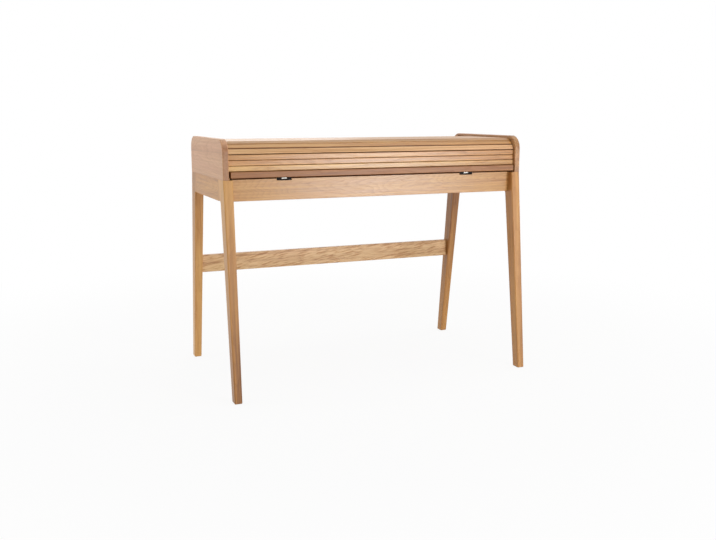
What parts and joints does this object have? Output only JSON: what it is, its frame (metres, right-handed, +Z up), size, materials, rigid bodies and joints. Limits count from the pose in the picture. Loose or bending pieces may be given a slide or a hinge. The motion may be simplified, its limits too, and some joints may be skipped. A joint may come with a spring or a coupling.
{
  "type": "tambour desk",
  "caption": "Writing desk on raked tapered legs, with a slatted shutter that rolls back over a shallow case and a worktop that pulls out on ball slides.",
  "frame": {"origin": "on the floor, in the middle of the four feet", "axes": "+X to the right along the desk's width, +Y from the front to the back, +Z up"},
  "size_m": [1.1, 0.6391, 0.85],
  "materials": {
    "oak": "satin lacquer",
    "lipping_oak": "satin lacquer, darker",
    "beech": "bare",
    "zinc_steel": "zinc plated",
    "cage_plastic": "moulded",
    "nylon": "moulded",
    "backing_cloth": "woven"
  },
  "bodies": {
    "frame": {"back_panel": "oak", "corner_blocks": "beech", "front_apron": "oak", "glides": "nylon", "left_cheek": "oak", "left_front_leg": "oak", "left_rear_leg": "oak", "left_side_apron": "oak", "left_slide_bearer": "beech", "left_slide_outer": "zinc_steel", "rear_apron": "oak", "rear_stop": "oak", "rear_stretcher": "oak", "right_cheek": "oak", "right_front_leg": "oak", "right_rear_leg": "oak", "right_side_apron": "oak", "right_slide_bearer": "beech", "right_slide_outer": "zinc_steel", "splines": "beech", "top_panel": "oak"},
    "worktop": {"worktop": "oak", "worktop_lipping": "lipping_oak", "left_slide_inner": "zinc_steel", "right_slide_inner": "zinc_steel"},
    "left_cage": {"left_slide_cage": "cage_plastic"},
    "right_cage": {"right_slide_cage": "cage_plastic"},
    "shutter_top": {"top_slat_01": "oak", "top_slat_02": "oak", "top_slat_03": "oak", "top_slat_04": "oak", "top_slat_05": "oak", "top_slat_06": "oak", "top_slat_07": "oak", "top_slat_08": "oak", "top_slat_09": "oak", "top_slat_10": "oak", "top_slat_11": "oak", "top_slat_12": "oak", "top_slat_13": "oak", "top_slat_14": "oak", "top_slat_15": "oak", "top_cloth": "backing_cloth"},
    "shutter_curve_3": {"curve_slat_3": "oak", "curve_cloth_3": "backing_cloth"},
    "shutter_curve_2": {"curve_slat_2": "oak", "curve_cloth_2": "backing_cloth"},
    "shutter_curve_1": {"curve_slat_1": "oak", "curve_cloth_1": "backing_cloth"},
    "shutter_front": {"front_slat_1": "oak", "front_slat_2": "oak", "front_slat_3": "oak", "front_cloth": "backing_cloth"}
  },
  "joints": [
    {"name": "worktop_slide", "type": "slide", "parent": "frame", "child": "worktop", "axis": [0, -1, 0], "range_m": [0, 0.25]},
    {"name": "left_cage_slide", "type": "slide", "parent": "frame", "child": "left_cage", "axis": [0, -1, 0], "range_m": [0, 0.125]},
    {"name": "right_cage_slide", "type": "slide", "parent": "frame", "child": "right_cage", "axis": [0, -1, 0], "range_m": [0, 0.125]},
    {"name": "shutter_slide", "type": "slide", "parent": "frame", "child": "shutter_top", "axis": [0, 1, 0], "range_m": [0, 0.1065]},
    {"name": "curve_3_turn", "type": "hinge", "parent": "shutter_top", "child": "shutter_curve_3", "pos_m": [0, -0.19126, 0.83549], "axis": [-1, 0, 0], "range_deg": [0, 22.5]},
    {"name": "curve_2_turn", "type": "hinge", "parent": "shutter_curve_3", "child": "shutter_curve_2", "pos_m": [0, -0.20766, 0.8287], "axis": [-1, 0, 0], "range_deg": [0, 22.5]},
    {"name": "curve_1_turn", "type": "hinge", "parent": "shutter_curve_2", "child": "shutter_curve_1", "pos_m": [0, -0.22021, 0.81615], "axis": [-1, 0, 0], "range_deg": [0, 22.5]},
    {"name": "front_turn", "type": "hinge", "parent": "shutter_curve_1", "child": "shutter_front", "pos_m": [0, -0.227, 0.79975], "axis": [-1, 0, 0], "range_deg": [0, 22.5]}
  ],
  "couplings": [
    {"joint": "left_cage_slide", "follows": "worktop_slide", "ratio": 0.5},
    {"joint": "right_cage_slide", "follows": "worktop_slide", "ratio": 0.5},
    {"joint": "curve_3_turn", "follows": "shutter_slide", "rad_per_m": 3.6873},
    {"joint": "curve_2_turn", "follows": "shutter_slide", "rad_per_m": 3.6873},
    {"joint": "curve_1_turn", "follows": "shutter_slide", "rad_per_m": 3.6873},
    {"joint": "front_turn", "follows": "shutter_slide", "rad_per_m": 3.6873}
  ]
}
